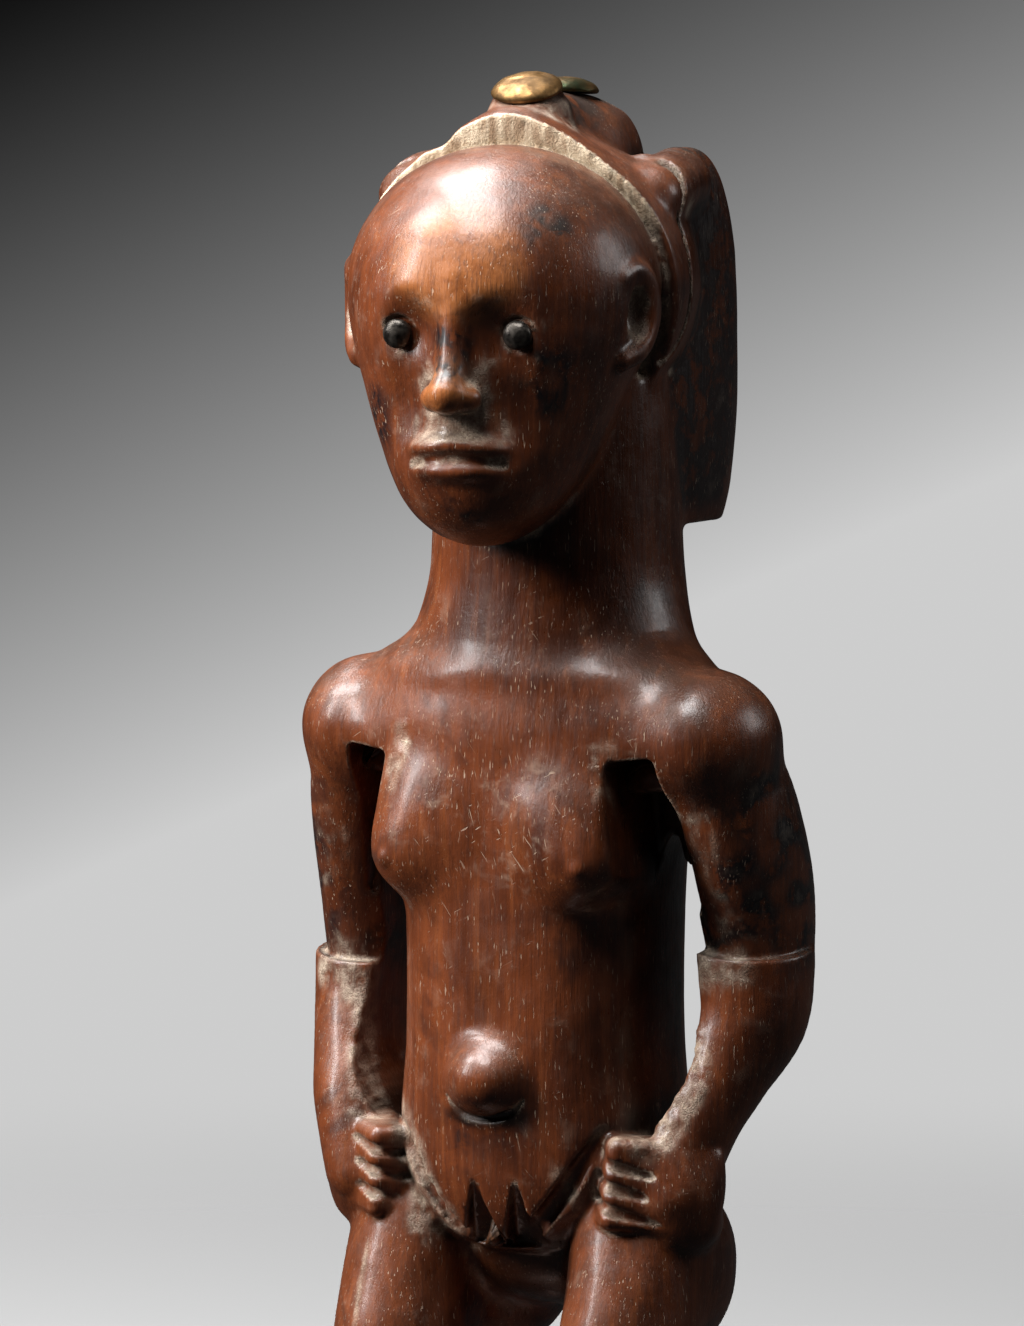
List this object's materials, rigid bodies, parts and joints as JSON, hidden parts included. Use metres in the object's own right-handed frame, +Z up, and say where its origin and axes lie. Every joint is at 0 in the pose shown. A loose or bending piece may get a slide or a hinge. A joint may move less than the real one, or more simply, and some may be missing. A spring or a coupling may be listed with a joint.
{
  "type": "fang reliquary figure",
  "caption": "Standing guardian figure carved from dark wood, hands at the belly, winged helmet wig with brass discs, metal stud eyes and a low round base.",
  "frame": {"origin": "middle of the flat underside of the round base, directly below the body's axis", "axes": "+Z up, the figure looks along -Y, its left side is +X"},
  "size_m": [0.1651, 0.1472, 0.4999],
  "materials": {
    "wood": "hard dark red-brown wood, hand carved, oiled and polished by handling, dusty in the cuts",
    "brass": "aged domed brass, dull with brown and green tarnish",
    "dark_metal": "dark worn metal nail head with a soft shine"
  },
  "bodies": {
    "root": {"carved_figure": "wood", "front_brass_disc": "brass", "rear_brass_disc": "brass", "right_eye_stud": "dark_metal", "left_eye_stud": "dark_metal"}
  },
  "joints": []
}
